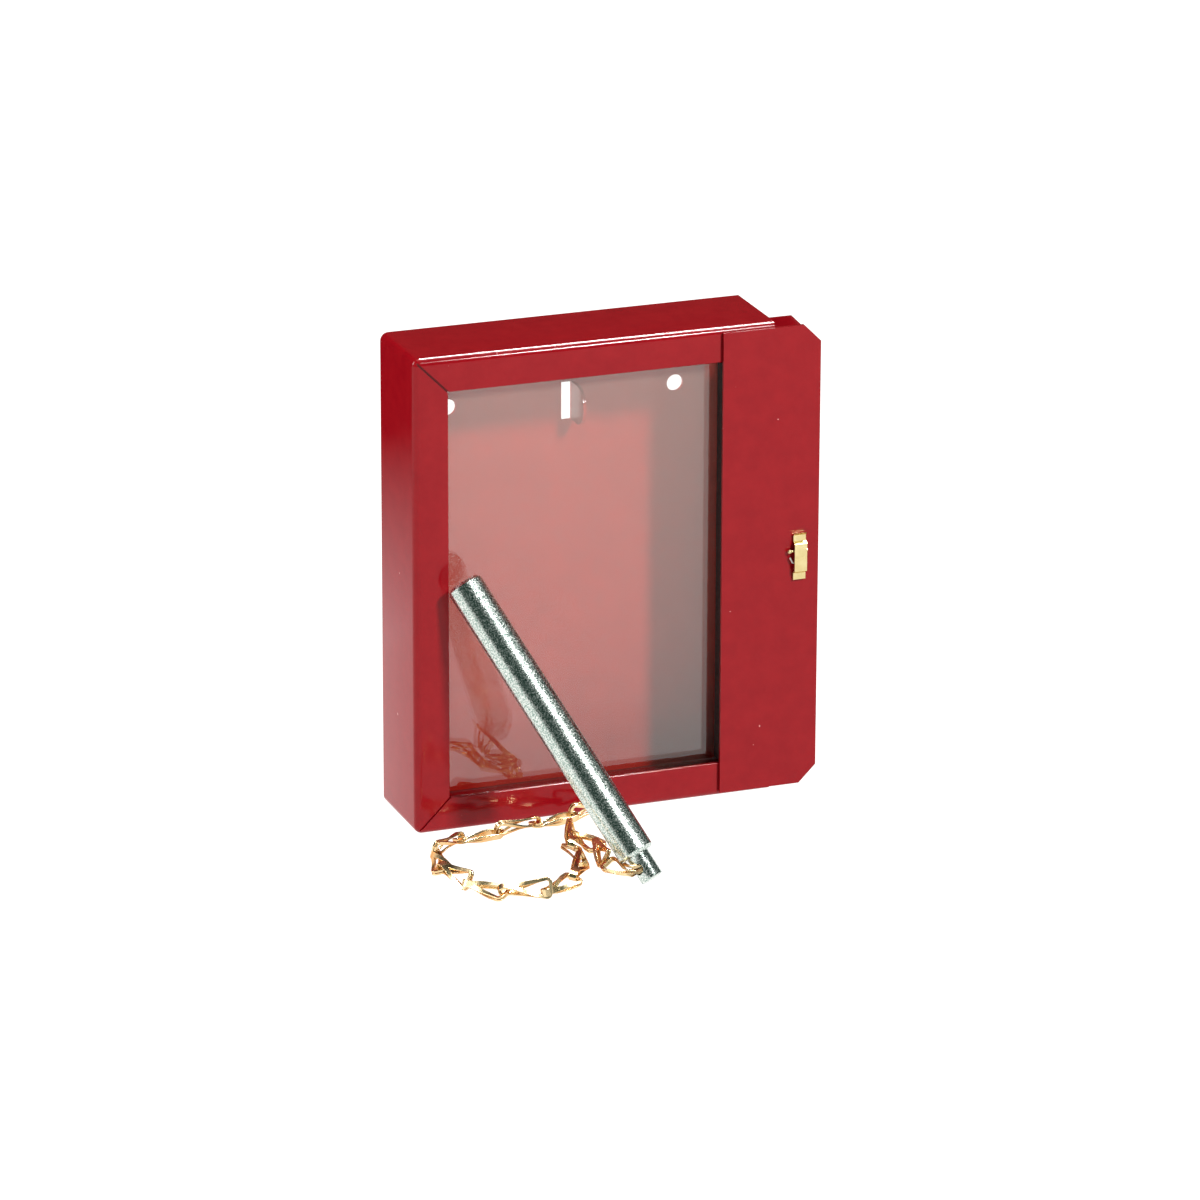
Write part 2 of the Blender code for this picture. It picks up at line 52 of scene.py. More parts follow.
# Case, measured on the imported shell: its lower front left corner is the drawing's zero point
CASE_LOW, CASE_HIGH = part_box("case_shell")
CASE_LEFT, CASE_FRONT, CASE_BOTTOM = CASE_LOW
CASE_RIGHT, CASE_BACK, CASE_TOP = CASE_HIGH
SHEET = 1 * MM
FRAME_WIDTH = 11 * MM
WINDOW_LEFT = CASE_LEFT + FRAME_WIDTH
WINDOW_BOTTOM = CASE_BOTTOM + FRAME_WIDTH
WINDOW_TOP = CASE_TOP - FRAME_WIDTH
CORNER_RADIUS = 2.5 * MM
FOLD_RADIUS = 2.2 * MM
MITRE_HALF_GAP = 0.3 * MM
MITRE_START = 1.2 * SHEET
MITRE_DEPTH = 0.8 * SHEET
PAINT_ROUND = 0.42 * MM
OVERCUT = 2 * MM
EYE_HOLE_FROM_LEFT = 62 * MM
EYE_HOLE_HEIGHT = 5.6 * MM
EYE_HOLE_RADIUS = 0.9 * MM

# Widths of the broken edges
SHEET_EDGE = 0.2 * MM
LINK_EDGE = 0.14 * MM
CUT_EDGE = 0.12 * MM
SMALL_EDGE = 0.1 * MM
WIRE_EDGE = 0.05 * MM

# Pane: each face mirrors as much as a face of this refractive index, and a pinkish diffuse haze takes a
# share of its light, growing towards the top: dust in part, and in part a painted reflection veil
GLASS_INDEX = 1.78
PANE_DUST_AND_PAINTED_VEIL_LOW = 0.01
PANE_DUST_AND_PAINTED_VEIL_HIGH = 0.08

# Camera: angles in degrees, lens and sensor in millimetres, distances in metres
CAMERA_TARGET = Vector((1.6 * MM, -15 * MM, 68.3 * MM))
CAMERA_AZIMUTH = -20.65
CAMERA_ELEVATION = 19.21
CAMERA_ROLL = -0.18
CAMERA_DISTANCE = 2.068
CAMERA_LENS = 205.9
CAMERA_SENSOR = 36
CAMERA_NEAR = 0.05

# Table
FLOOR_SIZE = 6
FLOOR_DROP = 0.02 * MM
FLOOR_GLOW = 1.12

# The card that the left wall mirrors: it stands behind the box to its left
CARD_LEFT = -350 * MM
CARD_RIGHT = -65 * MM
CARD_Y = 150 * MM
CARD_HEIGHT = 300 * MM
CARD_FADE = 75 * MM
CARD_GLOW = 1.35

# Striker: the places of its two ends, in millimetres from the case's corner
STRIKER_FOOT = (52.5, -62.3, 2.15)
STRIKER_HEAD = (14.5, -3.05, 79.8)
STRIKER_RADIUS = 5.6 * MM
STRIKER_CHAMFER = 0.9 * MM
NECK_RADIUS = 3.5 * MM
NECK_LENGTH = 8.3 * MM
NECK_FILLET = 0.3 * MM
NECK_END_ROUND = 0.35 * MM
NECK_HOLE_RADIUS = 1.8 * MM
NECK_HOLE_HEIGHT = 4.3 * MM
DRILL_LENGTH = 12 * MM

# Turned rings on the striker's upper face, round the mark of the lathe's centre
CENTRE_RADIUS = 0.6 * MM
CENTRE_DEPTH = 0.5 * MM
CENTRE_RIM_DEPTH = 0.05 * MM
RING_PITCH = 0.8 * MM
RING_CREST = 0.35 * MM
RING_TROUGH = 0.7 * MM
RING_DEPTH = 0.06 * MM

# Chain: the route of its centreline, in millimetres from the case's corner
CHAIN_EXIT = (61.0, -4.6, 3.8)
CHAIN_ROUTE = (
    CHAIN_EXIT,
    (56.0, -5.6, 3.0),
    (50.0, -6.6, 2.8),
    (43.0, -7.6, 2.8),
    (34.0, -9.6, 2.8),
    (25.0, -11.8, 2.8),
    (16.0, -13.2, 2.8),
    (8.0, -14.5, 2.8),
    (1.0, -19.0, 2.8),
    (-3.0, -26.0, 2.8),
    (-4.0, -35.0, 2.8),
    (-2.0, -44.0, 2.8),
    (1.5, -52.5, 2.8),
    (7.0, -59.5, 2.8),
    (15.0, -63.0, 2.8),
    (23.0, -60.5, 2.8),
    (30.5, -55.0, 2.8),
    (36.0, -47.5, 2.8),
    (38.5, -39.0, 2.8),
    (38.3, -31.0, 2.8),
    (37.8, -25.0, 2.8),
    (40.2, -20.8, 2.8),
    (44.0, -21.4, 2.8),
    (45.6, -26.5, 2.8),
    (45.8, -33.0, 2.8),
    (44.8, -40.5, 2.8),
    (43.2, -47.2, 2.8),
)
CHAIN_LEAD = 1.5 * MM

# One stamped link, drawn flat from its fold to the end of its eye
LINK_FLAT = 16.6 * MM
LINK_SHEET = 0.65 * MM
LINK_RIM = 1.0 * MM
LINK_STRAP_HALF = 1.15 * MM
LINK_STRAP_LENGTH = 4.2 * MM
LINK_STRAP_STEPS = 5
LINK_HOLE_START = 6.2 * MM
LINK_CORNER_RADIUS = 1.7 * MM
LINK_CORNER_SWEEP = 100
LINK_HALF_WIDTH = 3.25 * MM

# The folded link, and how the links lie one after the other: twists and rolls in degrees
LINK_FOLD_RADIUS = 1.2 * MM
LINK_FOLD_QUARTER = LINK_FOLD_RADIUS * math.pi / 2
LINK_LENGTH = LINK_FLAT + LINK_FOLD_RADIUS - LINK_FOLD_QUARTER
LINK_LEAF_GAP = 0.40 * MM
LINK_PITCH = 13.0 * MM
LINK_OVERLAP = 1.4 * MM
LINK_TWISTS = (62, -66, 54, -50)
FIRST_ROLL = 15
FLOOR_CLEARANCE = 0.15 * MM
LINK_DROP = 0.8 * MM

# The link threaded through the striker's neck: how far it comes out on each side, and its bend
END_LINK_THROUGH = 4.3 * MM
END_LINK_MOUTH = 0.8 * MM
END_LINK_BEND = 1.2 * MM
END_LINK_BEND_SHARE = 0.25
END_LINK_TWIST = 150
END_LINK_GIRTH = 0.85


# ---------------------------------------------------------------- general helpers

def from_corner(place):
    """World position of a place given in millimetres from the case's lower front left corner."""
    return CASE_LOW + Vector(place) * MM


def arc(centre, radius, start_deg, end_deg, steps):
    """Points along an arc, ends included."""
    angles = [math.radians(start_deg + (end_deg - start_deg) * i / steps) for i in range(steps + 1)]
    return [(centre[0] + radius * math.cos(a), centre[1] + radius * math.sin(a)) for a in angles]


def smooth_step(share):
    """A share from 0 to 1, eased at both ends."""
    return share * share * (3 - 2 * share)


def smooth_route(points, steps):
    """Points along a Catmull-Rom curve through the route's points."""
    padded = [2 * points[0] - points[1], *points, 2 * points[-1] - points[-2]]
    route = []
    for before, start, end, after in zip(padded, padded[1:], padded[2:], padded[3:]):
        for step in range(steps):
            t = step / steps
            drift = (end - before) * t
            pull = (2 * before - 5 * start + 4 * end - after) * t**2
            settle = (3 * start - before - 3 * end + after) * t**3
            route.append(start + (drift + pull + settle) / 2)
    return [*route, points[-1]]


def route_length(points):
    """Length of a polyline."""
    return sum((b - a).length for a, b in zip(points, points[1:]))


def walk(points, distance):
    """Place and heading at a distance along a polyline, carried on straight past its ends."""
    left = distance
    last = len(points) - 2
    for index, (a, b) in enumerate(zip(points, points[1:])):
        span = (b - a).length
        if left <= span or index == last:
            heading = (b - a).normalized()
            return a + heading * left, heading
        left -= span


def lies_at(edge, axis, place):
    """True if both ends of an edge are at a place along an axis."""
    return all(abs(vert.co[axis] - place) < SAME_PLACE for vert in edge.verts)


def add_object(name, data):
    """A new object in the scene."""
    item = bpy.data.objects.new(name, data)
    bpy.context.scene.collection.objects.link(item)
    return item


def to_mesh(name, form):
    """A mesh from a bmesh, which is freed."""
    mesh = bpy.data.meshes.new(name)
    form.to_mesh(mesh)
    form.free()
    return mesh


def add_piece(name, form, body, finish, stands_for):
    """A new piece from a bmesh: it rides on a body, stands for CAD nodes and takes the given finish."""
    piece = add_object(name, to_mesh(name, form))
    piece.data.materials.append(finish)
    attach(piece, body)
    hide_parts(*stands_for)
    return piece


def smooth(piece, angle=35):
    """Shade round faces smooth and keep real edges sharp."""
    piece.data.shade_smooth()
    piece.data.set_sharp_from_angle(angle=math.radians(angle))


def soften_edges(piece, width, segments=2, angle=40):
    """Break a piece's sharp edges, so that they catch the light."""
    bevel = piece.modifiers.new("soft_edges", "BEVEL")
    bevel.width = width
    bevel.segments = segments
    bevel.limit_method = "ANGLE"
    bevel.angle_limit = math.radians(angle)
    bevel.harden_normals = True
    bevel.use_clamp_overlap = True


def prism(outline, low, high):
    """A bmesh of an X and Z outline given thickness from low to high along Y."""
    form = bmesh.new()
    front = [form.verts.new((x, low, z)) for x, z in outline]
    back = [form.verts.new((x, high, z)) for x, z in outline]
    form.faces.new(front)
    form.faces.new(back[::-1])
    count = len(outline)
    for i in range(count):
        j = (i + 1) % count
        form.faces.new((front[j], front[i], back[i], back[j]))
    bmesh.ops.recalc_face_normals(form, faces=form.faces)
    return form


def cut_away(piece, cutter_form):
    """Cut a bmesh's shape out of a piece and apply the result."""
    cutter = add_object("cutter", to_mesh("cutter", cutter_form))
    modifier = piece.modifiers.new("cut", "BOOLEAN")
    modifier.operation = "DIFFERENCE"
    modifier.solver = "EXACT"
    modifier.object = cutter
    bpy.context.view_layer.update()
    evaluated = piece.evaluated_get(bpy.context.evaluated_depsgraph_get())
    result = bpy.data.meshes.new_from_object(evaluated)
    piece.modifiers.remove(modifier)
    piece.data = result
    bpy.data.objects.remove(cutter, do_unlink=True)


# ---------------------------------------------------------------- materials

BLACK = (0, 0, 0)
WHITE = (1, 1, 1)
NOISE_REACH = (0.3, 0.7)


class Nodes:
    """A small helper for building a material's node tree."""

    def __init__(self, name):
        self.material = bpy.data.materials.new(name)
        self.material.use_nodes = True
        self.tree = self.material.node_tree
        self.shader = self.tree.nodes["Principled BSDF"]
        self.output = self.tree.nodes["Material Output"]
        self.place = self.add("ShaderNodeTexCoord").outputs["Object"]

    def add(self, kind):
        """A new node of the given kind."""
        return self.tree.nodes.new(kind)

    def link(self, source, target):
        """Join an output to an input."""
        self.tree.links.new(source, target)

    def set(self, name, value):
        """Give one of the Principled shader's inputs a value."""
        self.shader.inputs[name].default_value = value

    def set_colour(self, name, colour):
        """Give one of the Principled shader's inputs an opaque colour."""
        self.set(name, (*colour, 1))

    def feed(self, name, source):
        """Link an output to one of the Principled shader's inputs."""
        self.link(source, self.shader.inputs[name])

    def noise(self, scale, detail=4.0, roughness=0.55):
        """Noise over the object's own coordinates, in cells per metre."""
        texture = self.add("ShaderNodeTexNoise")
        texture.inputs["Scale"].default_value = scale
        texture.inputs["Detail"].default_value = detail
        texture.inputs["Roughness"].default_value = roughness
        self.link(self.place, texture.inputs["Vector"])
        return texture.outputs["Fac"]

    def ramp(self, source, *stops):
        """A colour ramp: each stop is a position and a colour."""
        ramp = self.add("ShaderNodeValToRGB")
        elements = ramp.color_ramp.elements
        while len(elements) < len(stops):
            elements.new(0.5)
        for element, (position, colour) in zip(elements, stops):
            element.position = position
            element.color = (*colour, 1.0)
        self.link(source, ramp.inputs["Fac"])
        return ramp.outputs["Color"]

    def map_range(self, source, reach, low, high):
        """The source's values over a reach, mapped to low to high."""
        mapping = self.add("ShaderNodeMapRange")
        mapping.inputs["From Min"].default_value = reach[0]
        mapping.inputs["From Max"].default_value = reach[1]
        mapping.inputs["To Min"].default_value = low
        mapping.inputs["To Max"].default_value = high
        self.link(source, mapping.inputs["Value"])
        return mapping.outputs["Result"]

    def band(self, noise, low, high):
        """A noise's usual reach mapped to low to high."""
        return self.map_range(noise, NOISE_REACH, low, high)

    def height_band(self, top, low, high):
        """A value that runs from low at the object's zero height to high at the given top."""
        split = self.add("ShaderNodeSeparateXYZ")
        self.link(self.place, split.inputs["Vector"])
        return self.map_range(split.outputs["Z"], (0, top), low, high)

    def bump(self, source, strength, distance, under=None):
        """A bump from a height, laid over another bump where one is given."""
        bump = self.add("ShaderNodeBump")
        bump.inputs["Strength"].default_value = strength
        bump.inputs["Distance"].default_value = distance
        self.link(source, bump.inputs["Height"])
        if under is not None:
            self.link(under, bump.inputs["Normal"])
        return bump.outputs["Normal"]

    def blend(self, share, first, colour):
        """The first colour with a share of another laid over it."""
        blend = self.add("ShaderNodeMix")
        blend.data_type = "RGBA"
        self.link(share, blend.inputs["Factor"])
        self.link(first, blend.inputs["A"])
        blend.inputs["B"].default_value = (*colour, 1)
        return blend.outputs["Result"]

    def mix(self, share, first, second):
        """The first shader with a share of the second laid over it."""
        mix = self.add("ShaderNodeMixShader")
        self.link(share, mix.inputs["Fac"])
        self.link(first, mix.inputs[1])
        self.link(second, mix.inputs[2])
        return mix.outputs["Shader"]


def red_paint(name, deep, pale):
    """Stoved flame-red enamel: slight orange peel, mottled tone and rare pale dust specks."""
    n = Nodes(name)
    speck = (0.62, 0.25, 0.24)
    tone = n.ramp(n.noise(170, detail=5, roughness=0.65), (0.35, deep), (0.65, pale))
    dust = n.ramp(n.noise(520, detail=1), (0.815, BLACK), (0.83, WHITE))
    n.feed("Base Color", n.blend(dust, tone, speck))
    n.feed("Roughness", n.band(n.noise(160), 0.11, 0.17))
    peel = n.bump(n.noise(600, detail=1), 0.06, 0.04 * MM)
    sag = n.bump(n.noise(220, detail=1), 0.10, 0.12 * MM, under=peel)
    n.feed("Normal", sag)
    n.set("Specular IOR Level", 0.2)
    return n.material


def bright_zinc():
    """Bright zinc plate on turned steel, with a fine crystalline sparkle."""
    n = Nodes("striker_zinc")
    dark = (0.24, 0.34, 0.30)
    bright = (0.90, 0.92, 0.88)
    grain = n.noise(2600, detail=2, roughness=0.6)
    n.feed("Base Color", n.ramp(grain, (0.42, dark), (0.62, bright)))
    n.set("Metallic", 1.0)
    n.feed("Roughness", n.band(grain, 0.14, 0.33))
    n.feed("Normal", n.bump(grain, 0.5, 0.04 * MM))
    return n.material


def sheet_zinc():
    """Zinc-plated sheet of the pane channels and slide clips."""
    n = Nodes("sheet_zinc")
    dull = (0.55, 0.57, 0.58)
    bright = (0.72, 0.74, 0.74)
    n.feed("Base Color", n.ramp(n.noise(220), (0.3, dull), (0.7, bright)))
    n.set("Metallic", 1.0)
    n.feed("Roughness", n.band(n.noise(700), 0.28, 0.45))
    n.feed("Normal", n.bump(n.noise(1800), 0.15, 0.03 * MM))
    return n.material


def brass(name, pale, deep, rim, roughness):
    """Bright stamped brass, a little darker where it was handled, and tinted at glancing angles by the rim
    colour, which on the chain is a painted reflection of the red case.
    """
    n = Nodes(name)
    n.set_colour("Specular Tint", rim)
    n.feed("Base Color", n.ramp(n.noise(260, detail=2), (0.32, deep), (0.68, pale)))
    n.set("Metallic", 1.0)
    n.feed("Roughness", n.band(n.noise(500), roughness - 0.04, roughness + 0.04))
    n.feed("Normal", n.bump(n.noise(1500, detail=1), 0.05, 0.02 * MM))
    return n.material


def lead_wire():
    """The soft grey wire of the seal."""
    n = Nodes("seal_wire_grey")
    dull = (0.42, 0.42, 0.42)
    bright = (0.62, 0.62, 0.60)
    n.feed("Base Color", n.ramp(n.noise(1500), (0.3, dull), (0.7, bright)))
    n.set("Metallic", 1.0)
    n.feed("Roughness", n.band(n.noise(2500), 0.3, 0.5))
    return n.material


def black_rubber():
    """Matt near-black with a fine moulded grain, for the strip at the cover's left edge: painted shade, a
    dark sheet put where the flange lies only in shade.
    """
    n = Nodes("black_rubber")
    deep = (0.010, 0.007, 0.007)
    worn = (0.020, 0.014, 0.013)
    n.feed("Base Color", n.ramp(n.noise(400), (0.3, deep), (0.7, worn)))
    n.feed("Roughness", n.band(n.noise(1200), 0.5, 0.7))
    n.feed("Normal", n.bump(n.noise(3000, detail=1), 0.2, 0.03 * MM))
    n.set("Specular IOR Level", 0.2)
    return n.material


def clear_glass(n):
    """Glass that light passes straight through, with the faint green tone of float glass."""
    clear = n.add("ShaderNodeBsdfTransparent")
    tinted = (0.955, 0.965, 0.965)
    clean = (0.975, 0.985, 0.985)
    n.link(n.ramp(n.noise(35), (0.3, tinted), (0.7, clean)), clear.inputs["Color"])
    return clear.outputs["BSDF"]


def face_mirror(n):
    """The share of light that a face of the pane mirrors from outside or inside, and its mirror."""
    side = n.add("ShaderNodeNewGeometry").outputs["Backfacing"]
    fresnel = n.add("ShaderNodeFresnel")
    n.link(n.map_range(side, (0, 1), GLASS_INDEX, 1 / GLASS_INDEX), fresnel.inputs["IOR"])
    mirror = n.add("ShaderNodeBsdfGlossy")
    mirror.inputs["Roughness"].default_value = 0.01
    return fresnel.outputs["Fac"], mirror.outputs["BSDF"]


def pane_glass():
    """Thin clear glass that mirrors a little on each face, with a pinkish diffuse haze that grows towards
    its top: dust in part, and in part a painted reflection veil.
    """
    n = Nodes("pane_glass")
    clear = clear_glass(n)
    # The haze's pink tint and its rise towards the top are painted reflection, standing in for the veil
    # that the pane mirrors
    dust = n.add("ShaderNodeBsdfDiffuse")
    dust.inputs["Color"].default_value = (0.95, 0.60, 0.49, 1)
    dust_and_painted_veil = n.mix(n.height_band(CASE_TOP, PANE_DUST_AND_PAINTED_VEIL_LOW, PANE_DUST_AND_PAINTED_VEIL_HIGH), clear, dust.outputs["BSDF"])
    share, mirror = face_mirror(n)
    n.link(n.mix(share, dust_and_painted_veil, mirror), n.output.inputs["Surface"])
    # The tint and gloss of the same glass as a plain shader, kept beside the mix
    n.set_colour("Base Color", (0.9, 0.95, 0.94))
    n.feed("Roughness", n.band(n.noise(60), 0.0, 0.02))
    return n.material


def floor_white():
    """The studio table: white, and bright enough to hide its shadows."""
    n = Nodes("studio_white")
    n.set_colour("Base Color", (0.16, 0.157, 0.153))
    n.set("Roughness", 0.9)
    n.set("Specular IOR Level", 0.0)
    n.set_colour("Emission Color", (1.0, 0.985, 0.97))
    n.set("Emission Strength", FLOOR_GLOW)
    return n.material


def graded_card():
    """A studio card that fades from the table's white at its foot to black above."""
    n = Nodes("graded_card")
    n.set_colour("Base Color", BLACK)
    n.set("Specular IOR Level", 0.0)
    n.set_colour("Emission Color", WHITE)
    n.feed("Emission Strength", n.height_band(CARD_FADE, CARD_GLOW, 0.0))
    return n.material


RED = red_paint("red_enamel", deep=(0.238, 0.0026, 0.0068), pale=(0.266, 0.0042, 0.0082))
# The same red enamel made about twice as light for the inside of the box: painted light, standing in for
# light reaching the back plate
INSIDE_RED_WITH_PAINTED_LIGHT = red_paint("inside_red_enamel_with_painted_light", deep=(0.42, 0.013, 0.008), pale=(0.48, 0.018, 0.010))
STRIKER_ZINC = bright_zinc()
SHEET_ZINC = sheet_zinc()
CATCH_BRASS = brass(
    "catch_brass", pale=(0.74, 0.63, 0.34), deep=(0.64, 0.52, 0.25), rim=(0.9, 0.7, 0.4), roughness=0.30
)
# The chain's red rim tint is a painted reflection of the red case in the links' edges
CHAIN_BRASS = brass(
    "chain_brass", pale=(0.86, 0.68, 0.39), deep=(0.77, 0.55, 0.29), rim=(0.75, 0.34, 0.19), roughness=0.25
)
SEAL_GREY = lead_wire()
# Near-black for the strip at the cover's left edge: painted shade
PAINTED_SHADE_BLACK = black_rubber()
PANE_GLASS = pane_glass()


# ---------------------------------------------------------------- camera, floor and lights

def make_camera():
    """A long lens above and to the left of the front, turned a little about its axis."""
    azimuth = math.radians(CAMERA_AZIMUTH)
    elevation = math.radians(CAMERA_ELEVATION)
    level = math.cos(elevation)
    toward = Vector((math.sin(azimuth) * level, -math.cos(azimuth) * level, math.sin(elevation)))
    data = bpy.data.cameras.new("camera")
    data.lens = CAMERA_LENS
    data.sensor_width = CAMERA_SENSOR
    data.clip_start = CAMERA_NEAR
    camera = add_object("camera", data)
    turn = toward.to_track_quat("Z", "Y").to_matrix().to_4x4()
    roll = Matrix.Rotation(math.radians(-CAMERA_ROLL), 4, "Z")
    camera.matrix_world = Matrix.Translation(CAMERA_TARGET + toward * CAMERA_DISTANCE) @ turn @ roll
    bpy.context.scene.camera = camera


def make_floor():
    """A wide white table."""
    form = bmesh.new()
    bmesh.ops.create_grid(form, x_segments=1, y_segments=1, size=FLOOR_SIZE)
    bmesh.ops.translate(form, verts=form.verts, vec=(0, 0, -FLOOR_DROP))
    floor = add_object("floor", to_mesh("floor", form))
    floor.data.materials.append(floor_white())


def make_card():
    """The card itself, which shows only in reflections and casts no shadow."""
    corners = [(CARD_LEFT, 0), (CARD_RIGHT, 0), (CARD_RIGHT, CARD_HEIGHT), (CARD_LEFT, CARD_HEIGHT)]
    mesh = bpy.data.meshes.new("card")
    mesh.from_pydata([(x, CARD_Y, z) for x, z in corners], [], [(0, 1, 2, 3)])
    card = add_object("card", mesh)
    mesh.materials.append(graded_card())
    card.visible_camera = False
    card.visible_shadow = False


def area_light(name, place, target, size, power):
    """A square soft box facing a target."""
    data = bpy.data.lights.new(name, "AREA")
    data.size = size
    data.energy = power
    light = add_object(name, data)
    aim = (Vector(place) - Vector(target)).to_track_quat("Z", "Y")
    light.matrix_world = Matrix.Translation(place) @ aim.to_matrix().to_4x4()
    return light


def strip_light(name, place, target, size, width, power):
    """A long narrow light that shows only in reflections."""
    light = area_light(name, place, target, size, power)
    light.data.shape = "RECTANGLE"
    light.data.size_y = width
    light.visible_diffuse = False


def make_lights():
    """A small key box at the front right, two large soft boxes, a strip for the folds and a dim studio."""
    middle = Vector((0, 0, 0.075))
    crown = (0, 0, 0.15)
    key_place = middle + Vector((0.43, -1.0, 0.83)).normalized() * 1.6
    area_light("key", key_place, middle, size=0.16, power=27)
    area_light("overhead", (0.0, 0.15, 1.5), (0, 0, 0.1), size=0.9, power=7)
    area_light("left_fill", (-1.2, 0.45, 0.75), middle, size=0.7, power=19)
    strip_light("edge_strip", (0.4, 0.2, 1.2), crown, size=0.9, width=0.2, power=60)
    world = bpy.data.worlds.new("studio")
    world.use_nodes = True
    background = world.node_tree.nodes["Background"]
    background.inputs["Color"].default_value = (0.45, 1.0, 0.8, 1)
    background.inputs["Strength"].default_value = 0.06
    bpy.context.scene.world = world


# ---------------------------------------------------------------- case

def rounded_left(left, right, bottom, top, radius):
    """A rectangle in X and Z whose two left corners are rounded."""
    lower = arc((left + radius, bottom + radius), radius, 180, 270, 8)
    upper = arc((left + radius, top - radius), radius, 90, 180, 8)
    return [*lower, (right, bottom), (right, top), *upper]


def round_folds(form):
    """Round the block's front edges, where the sheet folds over into the frame."""
    folds = [
        edge for edge in form.edges
        if lies_at(edge, Y, CASE_FRONT) and not lies_at(edge, X, CASE_RIGHT)
    ]
    bmesh.ops.bevel(form, geom=folds, offset=FOLD_RADIUS, segments=6, profile=0.5, affect="EDGES")


def cut_inside(shell):
    """Leave only the sheet's thickness, open at the back and on the right."""
    inner = rounded_left(
        left=CASE_LEFT + SHEET,
        right=CASE_RIGHT + OVERCUT,
        bottom=CASE_BOTTOM + SHEET,
        top=CASE_TOP - SHEET,
        radius=CORNER_RADIUS - SHEET,
    )
    cut_away(shell, prism(inner, CASE_FRONT + SHEET, CASE_BACK + OVERCUT))


def cut_window(shell):
    """The window in the front, open on the right."""
    beyond = CASE_RIGHT + OVERCUT
    window = [
        (WINDOW_LEFT, WINDOW_BOTTOM),
        (beyond, WINDOW_BOTTOM),
        (beyond, WINDOW_TOP),
        (WINDOW_LEFT, WINDOW_TOP),
    ]
    cut_away(shell, prism(window, CASE_FRONT - OVERCUT, CASE_FRONT + 2 * SHEET))


def round_window(shell):
    """Round the sheet's edges along the window's left, lower and upper sides."""
    form = bmesh.new()
    form.from_mesh(shell.data)

    def along_side(edge):
        level = any(lies_at(edge, Y, depth) for depth in (CASE_FRONT, CASE_FRONT + SHEET))
        upright = lies_at(edge, X, WINDOW_LEFT)
        in_window = all(vert.co.x > WINDOW_LEFT - SAME_PLACE for vert in edge.verts)
        lying = in_window and any(lies_at(edge, Z, height) for height in (WINDOW_BOTTOM, WINDOW_TOP))
        return level and (upright or lying)

    rim = [edge for edge in form.edges if along_side(edge)]
    bmesh.ops.bevel(form, geom=rim, offset=PAINT_ROUND, segments=4, profile=0.5, affect="EDGES")
    form.to_mesh(shell.data)
    form.free()


def cut_mitres(shell):
    """A slit along each mitred corner of the frame, not quite through the sheet."""
    far = FRAME_WIDTH + MITRE_HALF_GAP
    half = MITRE_HALF_GAP / math.sqrt(2)
    for corner, inward in ((CASE_BOTTOM, 1), (CASE_TOP, -1)):
        slit = [
            (CASE_LEFT + MITRE_START - half, corner + inward * (MITRE_START + half)),
            (CASE_LEFT + MITRE_START + half, corner + inward * (MITRE_START - half)),
            (CASE_LEFT + far + half, corner + inward * (far - half)),
            (CASE_LEFT + far - half, corner + inward * (far + half)),
        ]
        cut_away(shell, prism(slit, CASE_FRONT - OVERCUT, CASE_FRONT + MITRE_DEPTH))


def cut_eye_hole(shell):
    """The hole in the bottom rail for the chain's eye."""
    centre = (CASE_LEFT + EYE_HOLE_FROM_LEFT, CASE_BOTTOM + EYE_HOLE_HEIGHT)
    hole = arc(centre, EYE_HOLE_RADIUS, 0, 360, 24)[:-1]
    cut_away(shell, prism(hole, CASE_FRONT - OVERCUT, CASE_FRONT + 2 * SHEET))


def case_shell():
    """The bent strip with its folded front frame: round folds, mitred corners and clean sheet edges."""
    outline = rounded_left(CASE_LEFT, CASE_RIGHT, CASE_BOTTOM, CASE_TOP, CORNER_RADIUS)
    form = prism(outline, CASE_FRONT, CASE_BACK)
    round_folds(form)
    shell = add_piece("bent_case", form, "case", RED, ["case_shell"])
    cut_inside(shell)
    cut_window(shell)
    round_window(shell)
    cut_mitres(shell)
    cut_eye_hole(shell)
    smooth(shell)
    soften_edges(shell, CUT_EDGE, angle=50)


# ---------------------------------------------------------------- striker

def striker_axis():
    """The striker's foot, the run from it to the head, and the level direction across it."""
    foot = from_corner(STRIKER_FOOT)
    run = from_corner(STRIKER_HEAD) - foot
    return foot, run, run.cross(UP).normalized()


def striker_profile(length):
    """The bar's half section in radius and height, from the rings on its upper face to its foot."""
    face = [(0.0, length - CENTRE_DEPTH), (CENTRE_RADIUS, length - CENTRE_RIM_DEPTH)]
    ring = CENTRE_RADIUS
    while ring < STRIKER_RADIUS - STRIKER_CHAMFER - RING_PITCH:
        face.append((ring + RING_CREST, length))
        face.append((ring + RING_TROUGH, length - RING_DEPTH))
        ring += RING_PITCH
    flat_radius = STRIKER_RADIUS - STRIKER_CHAMFER
    bar = [
        (flat_radius, length),
        (STRIKER_RADIUS, length - STRIKER_CHAMFER),
        (STRIKER_RADIUS, NECK_LENGTH + STRIKER_CHAMFER),
        (flat_radius, NECK_LENGTH),
    ]
    # The neck's fillet under the shoulder, and its rounded end
    fillet = arc((NECK_RADIUS + NECK_FILLET, NECK_LENGTH - NECK_FILLET), NECK_FILLET, 90, 180, 2)
    end_round = arc((NECK_RADIUS - NECK_END_ROUND, NECK_END_ROUND), NECK_END_ROUND, 0, -90, 2)
    return [*face, *bar, *fillet, *end_round, (0.0, 0.0)]


def cross_drill(bar):
    """Drill the striker's neck across, for the chain's last link."""
    foot, run, across = striker_axis()
    centre = foot + run.normalized() * NECK_HOLE_HEIGHT
    drill = bmesh.new()
    bmesh.ops.create_cone(
        drill, cap_ends=True, segments=40,
        radius1=NECK_HOLE_RADIUS, radius2=NECK_HOLE_RADIUS, depth=DRILL_LENGTH,
    )
    turn = UP.rotation_difference(across)
    bmesh.ops.transform(drill, matrix=Matrix.LocRotScale(centre, turn, None), verts=drill.verts)
    cut_away(bar, drill)


